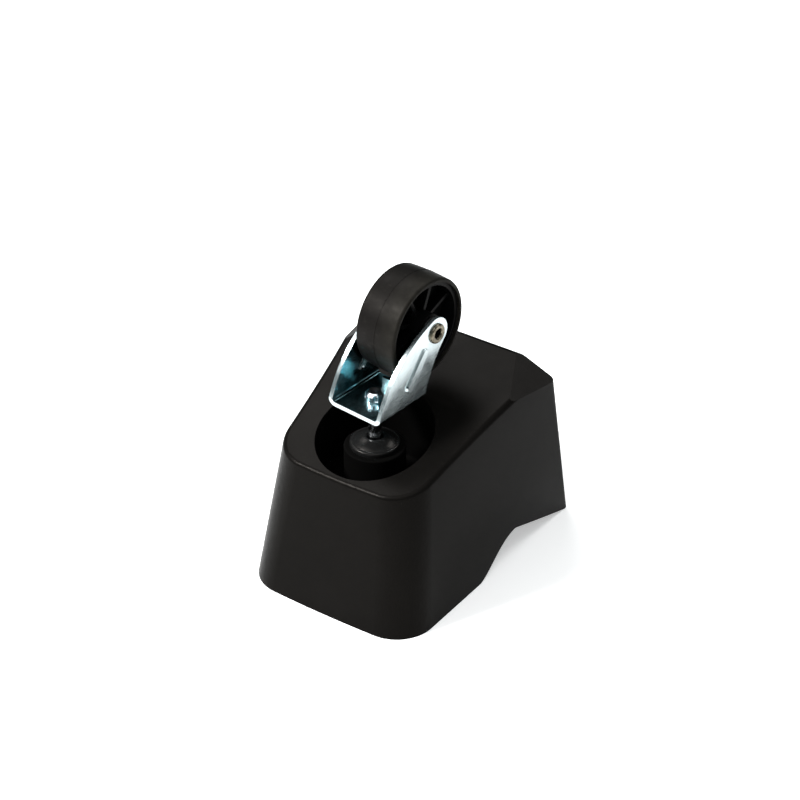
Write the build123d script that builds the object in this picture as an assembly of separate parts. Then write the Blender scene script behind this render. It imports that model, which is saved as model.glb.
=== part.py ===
from build123d import *
import math
import os

os.makedirs("parts", exist_ok=True)

# All sizes in millimetres. +Z up, the mating face lies at z = 0, the caster stands
# upwards out of the housing, and the narrow end of the housing points to -Y.

# Housing, a hollow moulded wedge with a round well for the caster
LENGTH = 136.0            # foot print along Y
FRONT = -LENGTH / 2       # foremost point of the bowed front wall, at the foot
REAR = LENGTH / 2
FRONT_BOW = 1.6           # how far the front wall bows out between its corners
BASE_FRONT_HALF = 46.8    # half width at the foot, front and rear
BASE_REAR_HALF = 50.8
TOP_FRONT_HALF = 37.8     # half width along the top edges, front and rear
TOP_REAR_HALF = 53.2
FRONT_EDGE_Z = 68.9       # height of the top edges
REAR_EDGE_Z = 97.4
FRONT_SET_BACK = 13.1     # how far each wall leans in, from foot to top edge
REAR_SET_BACK = 23.7
FRONT_CORNER_R = 19.5     # upright corners
REAR_CORNER_R = 2.5
TOP_EDGE_R = 2.6
WALL = 3.0
ROOF = 3.5
LOFT_Z = 100.0            # height to which the walls are drawn before the roof cuts them
CUT = 120.0               # size of a cutting block that is larger than the housing
OVER = 1.0                # how far a cut runs past the face it opens

# Shoulder facets that take off the two rear top corners
SHOULDER_ALONG = 33.3     # from the rear edge forwards along the side edge
SHOULDER_ACROSS = 20.6    # from the side edge inwards along the rear edge
SHOULDER_INSET = 4.3      # the roof's side edge at the facet's front end, in from the rear corner
SHOULDER_DROP = 11.2       # down the upright rear corner

# Arches in the two side walls
ARCH_START = 60.0         # distances behind the foot of the front wall
ARCH_MID = 72.5
ARCH_PEAK = 89.0
ARCH_END = 132.5
ARCH_MID_Z = 7.6
ARCH_PEAK_Z = 15.0
ARCH_START_SLOPE = 0.35   # rise over run where the curve leaves the mating face
ARCH_PEAK_SLOPE = 0.12
ARCH_ROUND = 6.0
ARCH_INNER_X = 36.0       # the arch is cut outwards from here

# Well and boss
WELL_Y = FRONT + 43.2
WELL_R = 27.6
WELL_FLOOR_Z = 47.0
WELL_ROUND = 2.0
BOSS_R = 14.4
BOSS_TOP_Z = 71.0
BOSS_FOOT_Z = 33.0
BOSS_WALL_IN = 1.5        # the boss is this much slimmer below the well floor
BOSS_EDGE_R = 0.8
RIB_THICK = 2.4
RIB_LOW_Z = 40.0
REAR_RIB_BACK = 56.0      # cross rib behind the well
REAR_RIB_LOW_Z = 54.0

# Screw bosses in the hollow, with threaded inserts flush with the mating face
INSERT_X = 30.0
INSERT_FRONT_Y = FRONT + 20.5
INSERT_REAR_Y = REAR - 20.0
POST_R = 5.6
POST_WEB_TOP = 45.0
POST_WEB_REACH = 0.6      # length of the web, as a share of the post's distance from the middle
INSERT_R = 3.6
INSERT_LENGTH = 12.0
INSERT_GROOVES = (3.0, 7.5)
INSERT_GROOVE_WIDTH = 1.5
INSERT_GROOVE_R = 3.2
INSERT_BORE_R = 2.1
SCREW_RUN_OUT = 6.0       # free depth above the insert for a longer screw

# Stem socket, a flanged bush with a domed collar
SOCKET_R = 6.5
SOCKET_FLANGE_R = 11.7
SOCKET_FLANGE_T = 2.4
FLANGE_EDGE_R = 1.0
DOME_FOOT_R = 10.3
DOME_TOP_R = 5.0
DOME_TOP_Z = 75.8
DOME_BULGE = 0.66         # height of the dome's middle, as a share of its rise
SOCKET_FOOT_Z = 36.0
SOCKET_END_T = 2.2
CHAMBER_R = 4.8
CHAMBER_TOP_Z = 49.0

# Stem and its grip ring
STEM_R = 4.0
STEM_FIT = 0.06           # radial running clearance in the socket
STEM_TIP_Z = 38.5
STEM_SHOULDER_Z = 73.6
NECK_R = 3.1
COLLAR_R = 5.6
COLLAR_T = 2.0
GROOVE_Z = (42.5, 47.5)
GROOVE_R = 3.2
RING_OUT_R = 4.4
RING_Z = (43.0, 47.0)
RING_GAP = 1.6
STEM_HEAD_R = 4.6
STEM_HEAD_T = 4.4
HEAD_LOBES = 4

# Fork, pressed from sheet
SHEET = 2.0
FORK_FLOOR_Z = 94.0       # underside of the fork base
FORK_WIDTH = 30.4
FORK_FRONT = -14.0        # ends of the fork base, measured from the stem axis
FORK_REAR = 18.0
BEND_R = 3.6              # outer radius of the two bends
TRAIL = 25.1
AXLE_Z = 125.0
LEG_TIP_R = 7.6
TIP_FRONT_ANGLE = 115.0   # where the leg's edges run into its round tip, from +Y
TIP_REAR_ANGLE = -40.0
LEG_FOOT_RISE = 3.0       # straight part of both leg edges above the base
FRONT_EDGE_MIDDLE = (-0.8, 24.0)   # (behind the stem axis, above the base)
REAR_EDGE_MIDDLE = (22.6, 14.3)
TAB_BACK = 10.2           # small tab lanced up out of the base behind the stem head
TAB_HALF = 4.2
TAB_HEIGHT = 4.8
RIB_FOOT = (6.8, 105.0)   # pressed rib on each leg, (behind the stem axis, height)
RIB_HEAD = (16.8, 119.0)
RIB_FOOT_R = 3.2
RIB_HEAD_R = 1.9
RIB_RISE = 1.0
RIB_FLANK = 0.6
RIB_INNER_SHRINK = 0.7    # the hollow side of the rib is this much narrower

# Wheel and axle
WHEEL_R = 25.0
WHEEL_SHIFT = -0.6        # the wheel sits a little to the left in its axial play
WHEEL_HALF = 11.15
CROWN = 0.55              # drop of the tread from its middle to its shoulders
SHOULDER_R = 1.3
SEAM_H = 0.12
TYRE_SEAT_R = 22.6
RIM_IN_R = 20.5
RIM_HALF = 9.6
HUB_R = 7.6
HUB_HALF = 11.5
WEB_T = 3.0
SPOKES = 8
SPOKE_T = 1.8
SPOKE_HALF = 6.2
SLEEVE_R = 4.6
SLEEVE_FIT = 0.06
RIVET_R = 3.1
RIVET_BORE_R = 2.3
RIVET_HEAD_R = 4.8
RIVET_HEAD_T = 1.3
WASHER_R = 6.6
WASHER_T = 0.9

AXLE_Y = WELL_Y + TRAIL
LEG_OUT = FORK_WIDTH / 2
LEG_IN = LEG_OUT - SHEET
BASE_TOP_Z = FORK_FLOOR_Z + SHEET
CASTER_TURN = -6.0        # the caster is drawn swivelled a little, about the stem


def tube(radius, low, high, bore=0.0, x=0.0, y=WELL_Y):
    """Upright cylinder or tube between two heights."""
    body = Pos(x, y, low) * extrude(Circle(radius), high - low)
    if bore:
        body -= Pos(x, y, low - OVER) * extrude(Circle(bore), high - low + 2 * OVER)
    return body


def cross_tube(radius, low, high, bore=0.0):
    """Cylinder or tube along X on the wheel's axle line."""
    profile = Circle(radius) - Circle(bore) if bore else Circle(radius)
    return Plane((low, AXLE_Y, AXLE_Z), x_dir=(0, 1, 0), z_dir=(1, 0, 0)) * extrude(profile, high - low)


def turned(points, y=WELL_Y):
    """Solid of revolution about the stem axis from (radius, z) points."""
    face = make_face(Polyline(*[(r, 0, z) for r, z in points], close=True))
    return Pos(0, y, 0) * revolve(face, Axis.Z)


def spun(face):
    """Solid of revolution about the axle from a face drawn as (x along axle, radius)."""
    plane = Plane((0, AXLE_Y, AXLE_Z), x_dir=(1, 0, 0), z_dir=(0, -1, 0))
    return plane * revolve(face, Axis.X)


def roof_z(y):
    """Height of the sloped roof plane."""
    run = LENGTH - FRONT_SET_BACK - REAR_SET_BACK - FRONT_BOW
    return FRONT_EDGE_Z + (y - FRONT - FRONT_BOW - FRONT_SET_BACK) * (REAR_EDGE_Z - FRONT_EDGE_Z) / run


def outline(z, inset=0.0):
    """Rounded plan of the walls at height z, drawn in by inset."""
    up_front = z / FRONT_EDGE_Z
    up_rear = z / REAR_EDGE_Z
    front = FRONT + FRONT_BOW + FRONT_SET_BACK * up_front + inset
    rear = REAR - REAR_SET_BACK * up_rear - inset
    half_front = BASE_FRONT_HALF + (TOP_FRONT_HALF - BASE_FRONT_HALF) * up_front - inset
    half_rear = BASE_REAR_HALF + (TOP_REAR_HALF - BASE_REAR_HALF) * up_rear - inset
    bow = ThreePointArc((-half_front, front), (0, front - FRONT_BOW), (half_front, front))
    sides = Polyline((half_front, front), (half_rear, rear), (-half_rear, rear), (-half_front, front))
    face = make_face(Curve() + [bow, sides])
    corners = face.vertices().sort_by(Axis.Y)
    face = fillet(corners[:2], FRONT_CORNER_R - inset)
    corners = face.vertices().sort_by(Axis.Y)
    face = fillet(corners[-2:], max(REAR_CORNER_R - inset, 1.0))
    return Pos(0, 0, z) * face


def wedge(inset=0.0, roof_drop=0.0, low=0.0):
    """Closed wedge between the foot and the roof plane."""
    walls = loft([outline(low, inset), outline(LOFT_Z, inset)], ruled=True)
    reach = LENGTH
    side = Polyline(
        (-reach, low),
        (reach, low),
        (reach, roof_z(reach) - roof_drop),
        (-reach, roof_z(-reach) - roof_drop),
        close=True,
    )
    return walls & extrude(Plane.YZ * make_face(side), LENGTH, both=True)


def shoulder_cut(side, depth=0.0):
    """Material above the facet at one rear top corner, or above a plane that far below it."""
    rear = REAR - REAR_SET_BACK
    front_end = rear - SHOULDER_ALONG
    along = Vector(side * (TOP_REAR_HALF - SHOULDER_INSET), front_end, roof_z(front_end))
    across = Vector(side * (TOP_REAR_HALF - SHOULDER_ACROSS), rear, REAR_EDGE_Z)
    down = Vector(side * TOP_REAR_HALF, rear, REAR_EDGE_Z - SHOULDER_DROP)
    normal = (across - along).cross(down - along)
    normal = normal if normal.Z > 0 else normal * -1
    normal = normal.normalized()
    facet = Plane(along - normal * depth, z_dir=normal)
    block = facet * Box(2 * CUT, 2 * CUT, CUT / 3, align=(Align.CENTER, Align.CENTER, Align.MIN))
    return block & (Pos(side * CUT / 2, rear, REAR_EDGE_Z) * Box(0.7 * CUT, 0.9 * CUT, CUT / 2))


def arch_cut(side):
    """Opening under one side wall: a curved rise, then a long straight fall."""
    start = FRONT + ARCH_START
    peak = FRONT + ARCH_PEAK
    rise = Spline(
        (start, 0),
        (FRONT + ARCH_MID, ARCH_MID_Z),
        (peak, ARCH_PEAK_Z),
        tangents=((1, ARCH_START_SLOPE), (1, ARCH_PEAK_SLOPE)),
    )
    end = FRONT + ARCH_END
    fall = Polyline((peak, ARCH_PEAK_Z), (end, 0), (end, -OVER), (start, -OVER), (start, 0))
    face = make_face(Curve() + [rise, fall])
    top = face.vertices().sort_by(Axis.Y)[-1]
    face = fillet(top, ARCH_ROUND)
    cut = Pos(ARCH_INNER_X, 0, 0) * extrude(Plane.YZ * face, CUT)
    return cut if side > 0 else mirror(cut, Plane.YZ)


def inner_ribs():
    """Ribs in the hollow that tie the well to the walls."""
    align = (Align.CENTER, Align.CENTER, Align.MIN)
    tall = LOFT_Z - RIB_LOW_Z
    middle = Pos(0, WELL_Y + CUT / 2, RIB_LOW_Z) * Box(RIB_THICK, CUT, tall, align=align)
    front = Pos(0, WELL_Y, RIB_LOW_Z) * Box(CUT, RIB_THICK, tall, align=align)
    rear = Pos(0, WELL_Y + REAR_RIB_BACK, REAR_RIB_LOW_Z) * Box(CUT, RIB_THICK, tall, align=align)
    return middle + front + rear


def post(x, y):
    """Screw boss with a web out to the side wall."""
    reach = POST_WEB_REACH * abs(x)
    align = (Align.CENTER, Align.CENTER, Align.MIN)
    web = Pos(x * (1 + POST_WEB_REACH / 2), y, 0) * Box(reach, RIB_THICK, POST_WEB_TOP, align=align)
    return tube(POST_R, 0, LOFT_Z, x=x, y=y) + web


def insert_places():
    """Centres of the four threaded inserts."""
    return [(x, y) for y in (INSERT_FRONT_Y, INSERT_REAR_Y) for x in (-INSERT_X, INSERT_X)]


def make_housing():
    outer = wedge()
    roof = [f for f in outer.faces() if f.normal_at().Z > 0.9][0]
    outer = fillet(roof.edges(), TOP_EDGE_R)
    for side in (-1, 1):
        outer -= shoulder_cut(side)
    hollow = wedge(WALL, ROOF, low=-OVER)
    for side in (-1, 1):
        hollow -= shoulder_cut(side, ROOF)
    inside = inner_ribs()
    for x, y in insert_places():
        inside += post(x, y)
    inside += tube(WELL_R + WALL, WELL_FLOOR_Z - WALL, LOFT_Z)
    inside += tube(BOSS_R - BOSS_WALL_IN, BOSS_FOOT_Z, LOFT_Z)
    body = (outer - hollow) + (inside & outer)
    well = tube(WELL_R, WELL_FLOOR_Z, LOFT_Z)
    well = fillet(well.edges().group_by(Axis.Z)[0], WELL_ROUND)
    boss = tube(BOSS_R, WELL_FLOOR_Z - OVER, BOSS_TOP_Z)
    boss = fillet(boss.edges().group_by(Axis.Z)[-1], BOSS_EDGE_R)
    body = (body - well) + boss
    body -= tube(SOCKET_R, BOSS_FOOT_Z - OVER, BOSS_TOP_Z + OVER)
    for x, y in insert_places():
        body -= tube(INSERT_R, -OVER, INSERT_LENGTH, x=x, y=y)
        body -= tube(INSERT_BORE_R, -OVER, INSERT_LENGTH + SCREW_RUN_OUT, x=x, y=y)
    for side in (-1, 1):
        body -= arch_cut(side)
    return body


def make_insert(x, y):
    """Knurl-grooved threaded insert, open at both ends."""
    body = tube(INSERT_R, 0, INSERT_LENGTH, INSERT_BORE_R, x, y)
    for low in INSERT_GROOVES:
        body -= tube(INSERT_R + OVER, low, low + INSERT_GROOVE_WIDTH, INSERT_GROOVE_R, x, y)
    return body


def make_socket():
    flange_top = BOSS_TOP_Z + SOCKET_FLANGE_T
    body = tube(SOCKET_R, SOCKET_FOOT_Z, flange_top)
    flange = tube(SOCKET_FLANGE_R, BOSS_TOP_Z, flange_top)
    body += fillet(flange.edges().group_by(Axis.Z)[-1], FLANGE_EDGE_R)
    middle = ((DOME_FOOT_R + DOME_TOP_R) / 2, flange_top + (DOME_TOP_Z - flange_top) * DOME_BULGE)
    crown = ThreePointArc((DOME_FOOT_R, flange_top), middle, (DOME_TOP_R, DOME_TOP_Z))
    core = Polyline((DOME_TOP_R, DOME_TOP_Z), (0, DOME_TOP_Z), (0, flange_top), (DOME_FOOT_R, flange_top))
    dome = revolve(Plane.XZ * make_face(Curve() + [crown, core]), Axis.Z)
    body += Pos(0, WELL_Y, 0) * dome
    body -= tube(STEM_R + STEM_FIT, CHAMBER_TOP_Z - OVER, DOME_TOP_Z + OVER)
    body -= tube(CHAMBER_R, SOCKET_FOOT_Z + SOCKET_END_T, CHAMBER_TOP_Z)
    return body


def make_stem():
    body = turned([
        (0, STEM_TIP_Z),
        (1.6, STEM_TIP_Z),
        (3.0, STEM_TIP_Z + 1.0),
        (STEM_R, STEM_TIP_Z + 3.0),
        (STEM_R, GROOVE_Z[0]),
        (GROOVE_R, GROOVE_Z[0]),
        (GROOVE_R, GROOVE_Z[1]),
        (STEM_R, GROOVE_Z[1]),
        (STEM_R, STEM_SHOULDER_Z),
        (NECK_R, STEM_SHOULDER_Z + 0.8),
        (NECK_R, FORK_FLOOR_Z - COLLAR_T),
        (COLLAR_R, FORK_FLOOR_Z - COLLAR_T + 0.6),
        (COLLAR_R, FORK_FLOOR_Z),
        (NECK_R, FORK_FLOOR_Z),
        (NECK_R, BASE_TOP_Z),
        (STEM_HEAD_R, BASE_TOP_Z),
        (STEM_HEAD_R - 0.3, BASE_TOP_Z + STEM_HEAD_T - 1.2),
        (STEM_HEAD_R - 1.6, BASE_TOP_Z + STEM_HEAD_T),
        (0, BASE_TOP_Z + STEM_HEAD_T - 0.8),
    ])
    for k in range(HEAD_LOBES):
        turn = math.radians(360 / HEAD_LOBES * (k + 0.5))
        x = (STEM_HEAD_R + 0.5) * math.cos(turn)
        y = (STEM_HEAD_R + 0.5) * math.sin(turn)
        body -= tube(1.5, BASE_TOP_Z + 0.8, BASE_TOP_Z + STEM_HEAD_T + 1, x=x, y=WELL_Y + y)
    return body


def make_grip_ring():
    ring = tube(RING_OUT_R, RING_Z[0], RING_Z[1], GROOVE_R + 0.1)
    ring -= Pos(0, WELL_Y - STEM_R, sum(RING_Z) / 2) * Box(RING_GAP, STEM_R * 2, 10)
    return ring


def tip_point(angle):
    """Point on the leg's round tip, (y, z)."""
    turn = math.radians(angle)
    return (AXLE_Y + LEG_TIP_R * math.cos(turn), AXLE_Z + LEG_TIP_R * math.sin(turn))


def leg_outline():
    """Side view of the fork, (y, z), base included."""
    front_tip = tip_point(TIP_FRONT_ANGLE)
    rear_tip = tip_point(TIP_REAR_ANGLE)
    crown = tip_point((TIP_FRONT_ANGLE + TIP_REAR_ANGLE) / 2)
    front_foot = (WELL_Y + FORK_FRONT, FORK_FLOOR_Z + LEG_FOOT_RISE)
    rear_foot = (WELL_Y + FORK_REAR, FORK_FLOOR_Z + LEG_FOOT_RISE)
    front_middle = (WELL_Y + FRONT_EDGE_MIDDLE[0], FORK_FLOOR_Z + FRONT_EDGE_MIDDLE[1])
    rear_middle = (WELL_Y + REAR_EDGE_MIDDLE[0], FORK_FLOOR_Z + REAR_EDGE_MIDDLE[1])
    front_edge = ThreePointArc(front_foot, front_middle, front_tip)
    tip = ThreePointArc(front_tip, crown, rear_tip)
    rear_edge = ThreePointArc(rear_tip, rear_middle, rear_foot)
    below = FORK_FLOOR_Z - OVER
    floor = Polyline(rear_foot, (rear_foot[0], below), (front_foot[0], below), front_foot)
    return make_face(Curve() + [front_edge, tip, rear_edge, floor])


def channel():
    """U-shaped channel that the fork is cut from, open upwards."""
    height = AXLE_Z + LEG_TIP_R + OVER - FORK_FLOOR_Z
    align = (Align.CENTER, Align.MIN)
    outside = Pos(0, FORK_FLOOR_Z) * Rectangle(FORK_WIDTH, height, align=align)
    outside = fillet(outside.vertices().sort_by(Axis.Y)[:2], BEND_R)
    inside = Pos(0, BASE_TOP_Z) * Rectangle(2 * LEG_IN, height, align=align)
    inside = fillet(inside.vertices().sort_by(Axis.Y)[:2], BEND_R - SHEET)
    return extrude(Plane.XZ * (outside - inside), CUT, both=True)


def rib_face(shrink):
    """Tapered slot outline of the pressed rib in the (y, z) plane."""
    foot = Pos(WELL_Y + RIB_FOOT[0], RIB_FOOT[1]) * Circle(RIB_FOOT_R - shrink)
    head = Pos(WELL_Y + RIB_HEAD[0], RIB_HEAD[1]) * Circle(RIB_HEAD_R - shrink)
    return make_hull((foot + head).edges())


def pressed_rib(x, shrink):
    """Raised bar with sloped flanks, standing out of the plane at x towards +X."""
    foot = Plane((x, 0, 0), x_dir=(0, 1, 0), z_dir=(1, 0, 0))
    top = Plane((x + RIB_RISE, 0, 0), x_dir=(0, 1, 0), z_dir=(1, 0, 0))
    return loft([foot * rib_face(shrink), top * rib_face(shrink + RIB_FLANK)], ruled=True)


def make_fork():
    fork = channel() & extrude(Plane.YZ * leg_outline(), FORK_WIDTH, both=True)
    tab_y = WELL_Y + TAB_BACK
    tab_t = SHEET * 0.8
    align = (Align.CENTER, Align.MIN, Align.MIN)
    tab = Box(2 * TAB_HALF, tab_t, TAB_HEIGHT + SHEET / 2, align=align)
    window = Box(2 * TAB_HALF, TAB_HEIGHT, 3 * SHEET, align=align)
    fork += Pos(0, tab_y, FORK_FLOOR_Z + SHEET / 2) * tab
    fork -= Pos(0, tab_y + tab_t, FORK_FLOOR_Z - SHEET) * window
    raised = pressed_rib(LEG_OUT, 0)
    sunk = pressed_rib(LEG_IN, RIB_INNER_SHRINK)
    fork += [raised, mirror(raised, Plane.YZ)]
    fork -= [sunk, mirror(sunk, Plane.YZ)]
    fork -= tube(NECK_R, FORK_FLOOR_Z - OVER, BASE_TOP_Z + OVER)
    fork -= cross_tube(RIVET_R, -FORK_WIDTH, FORK_WIDTH)
    return fork


def make_tyre():
    """Crowned tread with rounded shoulders and a fine seam round the middle."""
    edge_r = WHEEL_R - CROWN
    outside = [
        Polyline((-WHEEL_HALF, TYRE_SEAT_R), (-WHEEL_HALF, edge_r)),
        ThreePointArc((-WHEEL_HALF, edge_r), (0, WHEEL_R - SEAM_H), (WHEEL_HALF, edge_r)),
        Polyline((WHEEL_HALF, edge_r), (WHEEL_HALF, TYRE_SEAT_R), (-WHEEL_HALF, TYRE_SEAT_R)),
    ]
    face = make_face(Curve() + outside)
    face = fillet(face.vertices().sort_by(Axis.Y)[-2:], SHOULDER_R)
    seam = Polyline((-0.5, WHEEL_R - 1), (-0.15, WHEEL_R), (0.15, WHEEL_R), (0.5, WHEEL_R - 1), close=True)
    return Pos(WHEEL_SHIFT, 0, 0) * spun(face + make_face(seam))


def make_wheel_core():
    """Spoked wheel centre: rim, web, hub and ribs on both sides of the web."""
    core = cross_tube(TYRE_SEAT_R, -RIM_HALF, RIM_HALF, RIM_IN_R)
    core += cross_tube(RIM_IN_R + 0.5, -WEB_T / 2, WEB_T / 2)
    core += cross_tube(HUB_R, -HUB_HALF, HUB_HALF)
    reach = RIM_IN_R + 0.8
    middle = Plane((0, AXLE_Y, AXLE_Z), x_dir=(0, 1, 0), z_dir=(1, 0, 0))
    for k in range(SPOKES):
        spoke = Pos(reach / 2, 0, 0) * Box(reach, SPOKE_T, 2 * SPOKE_HALF)
        core += middle * (Rot(0, 0, 360 / SPOKES * (k + 0.5)) * spoke)
    core -= cross_tube(SLEEVE_R + SLEEVE_FIT, -FORK_WIDTH, FORK_WIDTH)
    return Pos(WHEEL_SHIFT, 0, 0) * core


def make_rivet():
    """Hollow rivet: a tube with a rolled head at each end."""
    shank = cross_tube(RIVET_R, -LEG_OUT, LEG_OUT, RIVET_BORE_R)
    for side in (-1, 1):
        low = LEG_OUT if side > 0 else -LEG_OUT - RIVET_HEAD_T
        head = cross_tube(RIVET_HEAD_R, low, low + RIVET_HEAD_T, RIVET_BORE_R)
        outer_rims = head.edges().group_by(Axis.X)[-1 if side > 0 else 0]
        shank += fillet(outer_rims, RIVET_HEAD_T * 0.6)
    return shank


def make_washer(side):
    hub_end = WHEEL_SHIFT + side * HUB_HALF
    centre = (hub_end + side * LEG_IN) / 2
    return cross_tube(WASHER_R, centre - WASHER_T / 2, centre + WASHER_T / 2, SLEEVE_R + 0.05)


TURNING = (
    "stem",
    "grip_ring",
    "fork",
    "axle_rivet",
    "axle_sleeve",
    "washer_left",
    "washer_right",
    "wheel_core",
    "tyre",
)


def make_nodes():
    nodes = {
        "housing": make_housing(),
        "stem_socket": make_socket(),
        "stem": make_stem(),
        "grip_ring": make_grip_ring(),
        "fork": make_fork(),
        "axle_rivet": make_rivet(),
        "axle_sleeve": cross_tube(SLEEVE_R, -LEG_IN, LEG_IN, RIVET_R + 0.05),
        "washer_left": make_washer(-1),
        "washer_right": make_washer(1),
        "wheel_core": make_wheel_core(),
        "tyre": make_tyre(),
    }
    for number, (x, y) in enumerate(insert_places(), start=1):
        nodes[f"threaded_insert_{number}"] = make_insert(x, y)
    stem_axis = Axis((0, WELL_Y, 0), (0, 0, 1))
    for name in TURNING:
        nodes[name] = nodes[name].rotate(stem_axis, CASTER_TURN)
    return nodes


for name, solid in make_nodes().items():
    export_step(solid, f"parts/{name}.step")
    print(name, len(solid.solids()), round(solid.volume, 1))
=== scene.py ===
import bpy
import math
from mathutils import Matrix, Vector

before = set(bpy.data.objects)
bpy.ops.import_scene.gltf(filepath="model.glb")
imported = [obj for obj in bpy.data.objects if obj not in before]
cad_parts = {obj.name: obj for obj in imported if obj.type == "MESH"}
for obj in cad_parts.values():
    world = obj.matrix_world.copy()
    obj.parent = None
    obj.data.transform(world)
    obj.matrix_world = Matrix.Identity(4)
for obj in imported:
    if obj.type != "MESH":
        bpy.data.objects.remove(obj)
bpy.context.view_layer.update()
MM = 0.001

# Camera: angles in degrees, lengths in metres, lens and sensor in millimetres
CAMERA_AZIMUTH = 34.26
CAMERA_ELEVATION = 34.12
CAMERA_DISTANCE = 1.0515
CAMERA_LENS = 103.9
CAMERA_SENSOR = 36.0
CAMERA_NEAR = 0.05
CAMERA_TARGET = Vector((0.00554, -0.01256, 0.09051))

# Studio: pale floor that glows a little, and a dim blue-green room around it
FLOOR_SIZE = 20.0
FLOOR_GLOW = 0.45
ROOM_COLOUR = (0.50, 0.92, 1.0, 1)
ROOM_STRENGTH = 0.06
AIM = (0, 0, 0.06)

# Softened edges of the CAD nodes
WELD_DISTANCE = 1e-6
BEVEL_SEGMENTS = 2
BEVEL_ANGLE = math.radians(32.0)

# Black plastics have a faintly warm gloss
WARM_GLOSS = (1.0, 0.93, 0.86, 1.0)
MOULD_GRAIN = 0.00003

# Caster at rest, in the frame of the part. A face of the fork counts as a cut edge when its
# normal leans towards the front or rear by more than CUT_EDGE_FACING.
CASTER_TURN = math.radians(-6.0)
STEM_Y = -0.0248
AXLE_DIRECTION = (math.cos(CASTER_TURN), math.sin(CASTER_TURN), 0.0)
FORK_FORWARD = (-math.sin(CASTER_TURN), math.cos(CASTER_TURN), 0.0)
FORK_MIDDLE = STEM_Y * math.sin(CASTER_TURN)
FORK_INNER_HALF = 0.0135
CUT_EDGE_FACING = 0.6

# Lighter share of the tread: width over which that share grows by one, and its share in the middle
TREAD_FADE = 0.014
TREAD_FADE_START = 0.1

# Round well of the housing, in the frame of the part
WELL_RADIUS = 0.0277
# Painted shade: near-black colour that stands in for the unlit inside of the round well.
WELL_PAINTED_SHADE = (0.0012, 0.0012, 0.0012)
WELL_ROUGHNESS = (0.85, 0.85, 0.85)


# ---------------------------------------------------------------- node helpers

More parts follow.
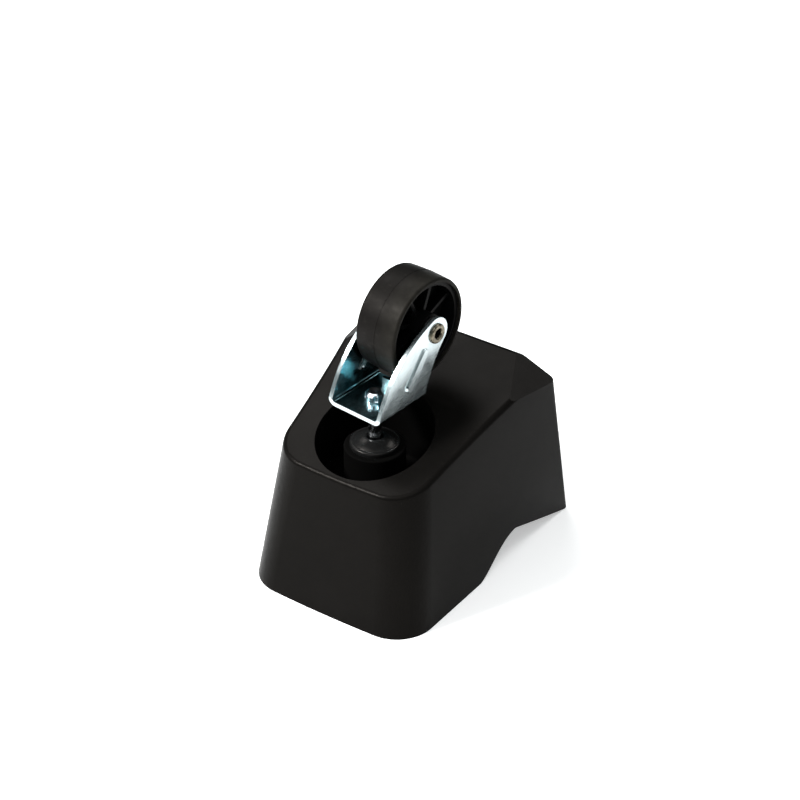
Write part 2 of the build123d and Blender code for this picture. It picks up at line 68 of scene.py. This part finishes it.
class Shader:
    """Small helper that builds one material's node tree."""

    def __init__(self, name):
        self.material = bpy.data.materials.new(name)
        self.material.use_nodes = True
        self.tree = self.material.node_tree
        self.tree.nodes.clear()
        self.output = self.tree.nodes.new("ShaderNodeOutputMaterial")
        self.bsdf = self.tree.nodes.new("ShaderNodeBsdfPrincipled")
        self.join(self.bsdf.outputs["BSDF"], self.output.inputs["Surface"])
        self.coords = self.tree.nodes.new("ShaderNodeTexCoord")

    def join(self, source, target):
        self.tree.links.new(source, target)

    def constant(self, **values):
        for key, value in values.items():
            self.bsdf.inputs[key.replace("_", " ")].default_value = value

    def placed(self, stretch, shift=(0.0, 0.0, 0.0)):
        """Coordinates of the object, stretched and then shifted."""
        node = self.tree.nodes.new("ShaderNodeMapping")
        node.inputs["Scale"].default_value = stretch
        node.inputs["Location"].default_value = shift
        self.join(self.coords.outputs["Object"], node.inputs["Vector"])
        return node.outputs["Vector"]

    def noise(self, scale, detail=4.0, roughness=0.55, stretch=(1, 1, 1)):
        """Noise whose scale is in cells per metre of the object."""
        node = self.tree.nodes.new("ShaderNodeTexNoise")
        node.inputs["Scale"].default_value = scale
        node.inputs["Detail"].default_value = detail
        node.inputs["Roughness"].default_value = roughness
        self.join(self.placed(stretch), node.inputs["Vector"])
        return node.outputs["Fac"]

    def cells(self, scale):
        """Distance to the nearest of many scattered points, as in a spark-eroded grain."""
        node = self.tree.nodes.new("ShaderNodeTexVoronoi")
        node.inputs["Scale"].default_value = scale
        self.join(self.coords.outputs["Object"], node.inputs["Vector"])
        return node.outputs["Distance"]

    def ramp(self, source, stops):
        """Colour ramp from stops, each a position with a grey value or a colour."""
        node = self.tree.nodes.new("ShaderNodeValToRGB")
        ramp = node.color_ramp
        while len(ramp.elements) < len(stops):
            ramp.elements.new(0.5)
        for element, (position, value) in zip(ramp.elements, stops):
            element.position = position
            colour = value if isinstance(value, tuple) else (value, value, value)
            element.color = (*colour, 1.0)
        self.join(source, node.inputs["Fac"])
        return node.outputs["Color"]

    def mix(self, factor, first, second):
        """Colour that goes from first to second as the factor goes from nought to one."""
        node = self.tree.nodes.new("ShaderNodeMix")
        node.data_type = "RGBA"
        sockets = (node.inputs[0], node.inputs[6], node.inputs[7])
        for socket, value in zip(sockets, (factor, first, second)):
            if isinstance(value, bpy.types.NodeSocket):
                self.join(value, socket)
            elif isinstance(value, tuple):
                socket.default_value = (*value, 1.0)
            else:
                socket.default_value = value
        return node.outputs[2]

    def calculate(self, operation, *values):
        """Result of one arithmetic node on links or plain numbers."""
        node = self.tree.nodes.new("ShaderNodeMath")
        node.operation = operation
        for socket, value in zip(node.inputs, values):
            if isinstance(value, bpy.types.NodeSocket):
                self.join(value, socket)
            else:
                socket.default_value = value
        return node.outputs["Value"]

    def along(self, output, axis):
        """Measure of a coordinate output, such as Object or Normal, along an axis."""
        node = self.tree.nodes.new("ShaderNodeVectorMath")
        node.operation = "DOT_PRODUCT"
        self.join(self.coords.outputs[output], node.inputs[0])
        node.inputs[1].default_value = axis
        return node.outputs["Value"]

    def across_caster(self):
        """Distance from the middle plane of the fork and wheel, positive to the right."""
        return self.calculate("SUBTRACT", self.along("Object", AXLE_DIRECTION), FORK_MIDDLE)

    def painted_shade_between_legs(self):
        """One on the inner faces of the fork, which take painted shade; nought on its outer faces and
        cut edges.
        """
        distance = self.calculate("ABSOLUTE", self.across_caster())
        inner = self.calculate("LESS_THAN", distance, FORK_INNER_HALF)
        facing = self.calculate("ABSOLUTE", self.along("Normal", FORK_FORWARD))
        return self.calculate("MULTIPLY", inner, self.calculate("LESS_THAN", facing, CUT_EDGE_FACING))

    def in_well(self):
        """One in the round well of the housing and straight below it, nought elsewhere."""
        radius = self.tree.nodes.new("ShaderNodeVectorMath")
        radius.operation = "LENGTH"
        self.join(self.placed((1.0, 1.0, 0.0), (0.0, -STEM_Y, 0.0)), radius.inputs[0])
        return self.calculate("LESS_THAN", radius.outputs["Value"], WELL_RADIUS)

    def bump(self, layers):
        """Chain of bumps, each from a height, a distance in metres and a strength."""
        normal = None
        for height, distance, strength in layers:
            node = self.tree.nodes.new("ShaderNodeBump")
            node.inputs["Distance"].default_value = distance
            node.inputs["Strength"].default_value = strength
            self.join(height, node.inputs["Height"])
            if normal:
                self.join(normal, node.inputs["Normal"])
            normal = node.outputs["Normal"]
        self.join(normal, self.bsdf.inputs["Normal"])


# ---------------------------------------------------------------- materials

def moulded_plastic(name, dark, light, rough_low, rough_high, specular=0.5, well=False):
    """Black moulded plastic: spark-eroded grain, a hint of flow mottling, dust and hairline rubs.

    With well set, the inside of the round well gets painted shade, a deeper black colour, and is
    nearly matte.
    """
    s = Shader(name)
    mottle = s.ramp(s.noise(26, 5), [(0.3, dark), (0.75, light)])
    specks = s.ramp(s.noise(1500, 2), [(0.72, 0.0), (0.80, 0.6)])
    dusty = s.mix(specks, mottle, tuple(c * 2.6 for c in light))
    # Painted shade: the inside of the round well is coloured near black.
    if well:
        dusty = s.mix(s.in_well(), dusty, WELL_PAINTED_SHADE)
    s.join(dusty, s.bsdf.inputs["Base Color"])
    wander = s.ramp(s.noise(60, 6), [(0.3, rough_low), (0.75, rough_high)])
    rubs = s.ramp(s.noise(420, 5, 0.7, (0.12, 1.0, 0.5)), [(0.62, 0.0), (0.72, 0.35)])
    gloss = s.mix(rubs, wander, (rough_low, rough_low, rough_low))
    if well:
        gloss = s.mix(s.in_well(), gloss, WELL_ROUGHNESS)
    s.join(gloss, s.bsdf.inputs["Roughness"])
    s.constant(Specular_IOR_Level=specular, Specular_Tint=WARM_GLOSS)
    s.bump([(s.cells(2600), MOULD_GRAIN, 0.35), (s.noise(5200, 3), MOULD_GRAIN, 0.4)])
    return s.material


def zinc_plate(name, tint, rough_low=0.10, rough_high=0.20, drawn=(1, 1, 1)):
    """Bright zinc plating: blue-white metal, barely clouded, with fine drawing lines."""
    s = Shader(name)
    s.constant(Metallic=1.0)
    s.join(clouded_zinc(s, tint), s.bsdf.inputs["Base Color"])
    drawing_lines(s, rough_low, rough_high, drawn)
    return s.material


def zinc_sheet():
    """Zinc-plated fork: satin white outside, with painted shade in dark teal on the faces between its
    legs.
    """
    s = Shader("zinc_sheet_fine")
    # Painted shade: the faces between the legs get a dark teal colour and full metal in place of the
    # lit zinc.
    shade_inside = s.painted_shade_between_legs()
    s.join(s.ramp(shade_inside, [(0.0, 0.90), (1.0, 1.0)]), s.bsdf.inputs["Metallic"])
    painted_shade_teal = s.ramp(s.noise(160, 4, 0.6), [(0.35, (0.16, 0.34, 0.38)), (0.72, (0.42, 0.60, 0.64))])
    plated = clouded_zinc(s, (0.62, 0.70, 0.715))
    s.join(s.mix(shade_inside, plated, painted_shade_teal), s.bsdf.inputs["Base Color"])
    drawing_lines(s, 0.14, 0.26, (1, 0.3, 0.3))
    return s.material


def clouded_zinc(s, tint):
    """Base colour of zinc plate: faint clouds and small dull stains."""
    cloud = s.ramp(s.noise(90, 6, 0.6), [(0.3, tuple(c * 0.93 for c in tint)), (0.75, tint)])
    stain = s.ramp(s.noise(1300, 4, 0.7), [(0.70, 0.0), (0.80, 0.35)])
    return s.mix(stain, cloud, tuple(c * 0.6 for c in tint))


def drawing_lines(s, rough_low, rough_high, drawn):
    """Fine streaks in gloss and height, left by drawing or turning the metal."""
    streak = s.noise(700, 4, 0.6, drawn)
    s.join(s.ramp(streak, [(0.3, rough_low), (0.75, rough_high)]), s.bsdf.inputs["Roughness"])
    s.bump([(s.noise(60, 2), 0.0002, 0.06), (streak, 0.000004, 0.25)])


def tyre_rubber():
    """Hard black tread: fine grain, grey scuffs, and lighter towards its right shoulder."""
    s = Shader("tyre_rubber_fine")
    dull_tones = [(0.3, (0.0040, 0.0036, 0.0033)), (0.75, (0.0066, 0.0060, 0.0056))]
    lighter_tread_tones = [(0.35, (0.0085, 0.0079, 0.0066)), (0.72, (0.0190, 0.0178, 0.0148))]
    dull = s.ramp(s.noise(110, 6, 0.62), dull_tones)
    lighter_tread = s.ramp(s.noise(170, 6, 0.68), lighter_tread_tones)
    # The tread is coloured lighter towards its right shoulder.
    share = s.calculate("MULTIPLY_ADD", s.across_caster(), 1.0 / TREAD_FADE, TREAD_FADE_START)
    base = s.mix(s.ramp(share, [(0.0, 0.0), (1.0, 1.0)]), dull, lighter_tread)
    scuff = s.ramp(s.noise(380, 7, 0.72, (0.5, 1, 1)), [(0.58, 0.0), (0.74, 0.5)])
    s.join(s.mix(scuff, base, (0.020, 0.0182, 0.0158)), s.bsdf.inputs["Base Color"])
    s.join(s.ramp(s.noise(240, 5), [(0.3, 0.40), (0.75, 0.56)]), s.bsdf.inputs["Roughness"])
    s.constant(Specular_IOR_Level=0.05, Specular_Tint=WARM_GLOSS)
    s.bump([(s.noise(1300, 4, 0.6), 0.00003, 0.35), (s.noise(6000, 2), 0.00001, 0.4)])
    return s.material


def brass():
    """Turned brass, slightly dulled."""
    s = Shader("insert_brass_fine")
    s.constant(Metallic=1.0)
    tone = s.ramp(s.noise(300, 4), [(0.3, (0.58, 0.42, 0.18)), (0.75, (0.76, 0.58, 0.28))])
    s.join(tone, s.bsdf.inputs["Base Color"])
    s.join(s.ramp(s.noise(900, 4), [(0.3, 0.22), (0.75, 0.42)]), s.bsdf.inputs["Roughness"])
    s.bump([(s.noise(2400, 3), 0.00001, 0.3)])
    return s.material


def passivated_steel():
    """Yellow-brown plated rivet steel."""
    s = Shader("rivet_steel_fine")
    s.constant(Metallic=1.0)
    tones = [(0.3, (0.07, 0.060, 0.042)), (0.55, (0.17, 0.15, 0.11)), (0.8, (0.40, 0.37, 0.30))]
    s.join(s.ramp(s.noise(700, 5, 0.65), tones), s.bsdf.inputs["Base Color"])
    s.join(s.ramp(s.noise(1200, 4), [(0.3, 0.2), (0.75, 0.42)]), s.bsdf.inputs["Roughness"])
    s.bump([(s.noise(1500, 4), 0.00004, 0.4)])
    return s.material


def pale_floor():
    """Plain white studio floor."""
    s = Shader("pale_floor")
    s.join(s.ramp(s.noise(3, 3), [(0.3, 0.86), (0.7, 0.88)]), s.bsdf.inputs["Base Color"])
    s.constant(Roughness=0.75, Specular_IOR_Level=0.2)
    s.constant(Emission_Color=(1.0, 1.0, 1.0, 1.0), Emission_Strength=FLOOR_GLOW)
    return s.material


def dress(node, material, bevel=0.0):
    """Gives a CAD node its finished material, and softens its sharp edges by a bevel in mm."""
    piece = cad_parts[node]
    piece.data.materials.clear()
    piece.data.materials.append(material)
    if bevel:
        weld = piece.modifiers.new("weld", "WELD")
        weld.merge_threshold = WELD_DISTANCE
        soft = piece.modifiers.new("soft_edges", "BEVEL")
        soft.width = bevel * MM
        soft.segments = BEVEL_SEGMENTS
        soft.limit_method = "ANGLE"
        soft.angle_limit = BEVEL_ANGLE
        soft.use_clamp_overlap = True
        even = piece.modifiers.new("even_normals", "WEIGHTED_NORMAL")
        even.mode = "FACE_AREA"
        even.keep_sharp = True


# ---------------------------------------------------------------- stage

def place_camera():
    """Camera before and to the right of the foot, looking down at it."""
    azimuth = math.radians(CAMERA_AZIMUTH)
    elevation = math.radians(CAMERA_ELEVATION)
    back = Vector((
        math.sin(azimuth) * math.cos(elevation),
        -math.cos(azimuth) * math.cos(elevation),
        math.sin(elevation),
    ))
    camera = bpy.data.objects.new("camera", bpy.data.cameras.new("camera"))
    camera.data.lens = CAMERA_LENS
    camera.data.sensor_width = CAMERA_SENSOR
    camera.data.clip_start = CAMERA_NEAR
    camera.location = CAMERA_TARGET + back * CAMERA_DISTANCE
    camera.rotation_euler = back.to_track_quat("Z", "Y").to_euler()
    bpy.context.scene.collection.objects.link(camera)
    bpy.context.scene.camera = camera


def area_light(name, place, size, power, target=AIM):
    """White softbox of the given size in metres and power in watts, facing the target."""
    light = bpy.data.lights.new(name, "AREA")
    light.shape = "RECTANGLE"
    light.size, light.size_y = size
    light.energy = power
    lamp = bpy.data.objects.new(name, light)
    lamp.location = place
    lamp.rotation_euler = (Vector(place) - Vector(target)).to_track_quat("Z", "Y").to_euler()
    bpy.context.scene.collection.objects.link(lamp)


def make_stage():
    """Floor, dim room and softboxes. Roof, facet and lip boxes shine back from those faces."""
    bpy.ops.mesh.primitive_plane_add(size=FLOOR_SIZE, location=(0, 0, 0))
    floor = bpy.context.object
    floor.name = "stage_floor"
    floor.data.materials.append(pale_floor())
    world = bpy.data.worlds.new("studio")
    world.use_nodes = True
    world.node_tree.nodes["Background"].inputs["Color"].default_value = ROOM_COLOUR
    world.node_tree.nodes["Background"].inputs["Strength"].default_value = ROOM_STRENGTH
    bpy.context.scene.world = world
    bpy.context.scene.view_settings.view_transform = "Standard"
    area_light("overhead", (0.0, -0.9, 2.0), (2.6, 1.8), 27, target=(0, -0.1, 0))
    area_light("roof_box", (-0.74, 0.44, 1.42), (0.7, 0.7), 10.0)
    area_light("facet_box", (0.34, 0.95, 1.2), (0.6, 0.5), 6.0)
    area_light("lip_box", (-0.66, -0.80, 1.03), (0.30, 0.30), 32)
    area_light("box_left", (-1.1, -0.45, 0.65), (0.5, 0.7), 1.2)
    area_light("box_right", (1.1, 0.5, 0.55), (0.5, 0.6), 1.0)


# ---------------------------------------------------------------- the object

def finish_nodes():
    """Materials and edge bevels, in mm, of every CAD node."""
    black = ((0.0034, 0.0031, 0.0028), (0.0046, 0.0042, 0.0038))
    satin = ((0.0060, 0.0060, 0.0060), (0.0088, 0.0088, 0.0088))
    deep = ((0.002, 0.0021, 0.0023), (0.0035, 0.0036, 0.0039))
    plain = ((0.012, 0.012, 0.012), (0.02, 0.02, 0.02))
    housing = moulded_plastic("housing_plastic_fine", *black, 0.28, 0.35, specular=0.034, well=True)
    socket = moulded_plastic("socket_plastic_fine", *satin, 0.22, 0.30, specular=0.15)
    core = moulded_plastic("core_plastic_fine", *deep, 0.35, 0.45, specular=0.05)
    nylon = moulded_plastic("washer_nylon_fine", *plain, 0.35, 0.5)
    turned = zinc_plate("zinc_steel_fine", (0.78, 0.82, 0.85), drawn=(0.2, 0.2, 2.0))
    spring = zinc_plate("spring_steel_fine", (0.42, 0.42, 0.43), 0.25, 0.4)
    dress("housing", housing, 0.35)
    dress("stem_socket", socket, 0.2)
    dress("wheel_core", core, 0.2)
    dress("washer_left", nylon)
    dress("washer_right", nylon)
    dress("fork", zinc_sheet(), 0.3)
    dress("stem", turned, 0.2)
    dress("grip_ring", spring)
    dress("axle_sleeve", spring)
    dress("axle_rivet", passivated_steel(), 0.15)
    dress("tyre", tyre_rubber())
    metal = brass()
    for number in range(1, 5):
        dress(f"threaded_insert_{number}", metal, 0.1)


place_camera()
make_stage()
finish_nodes()
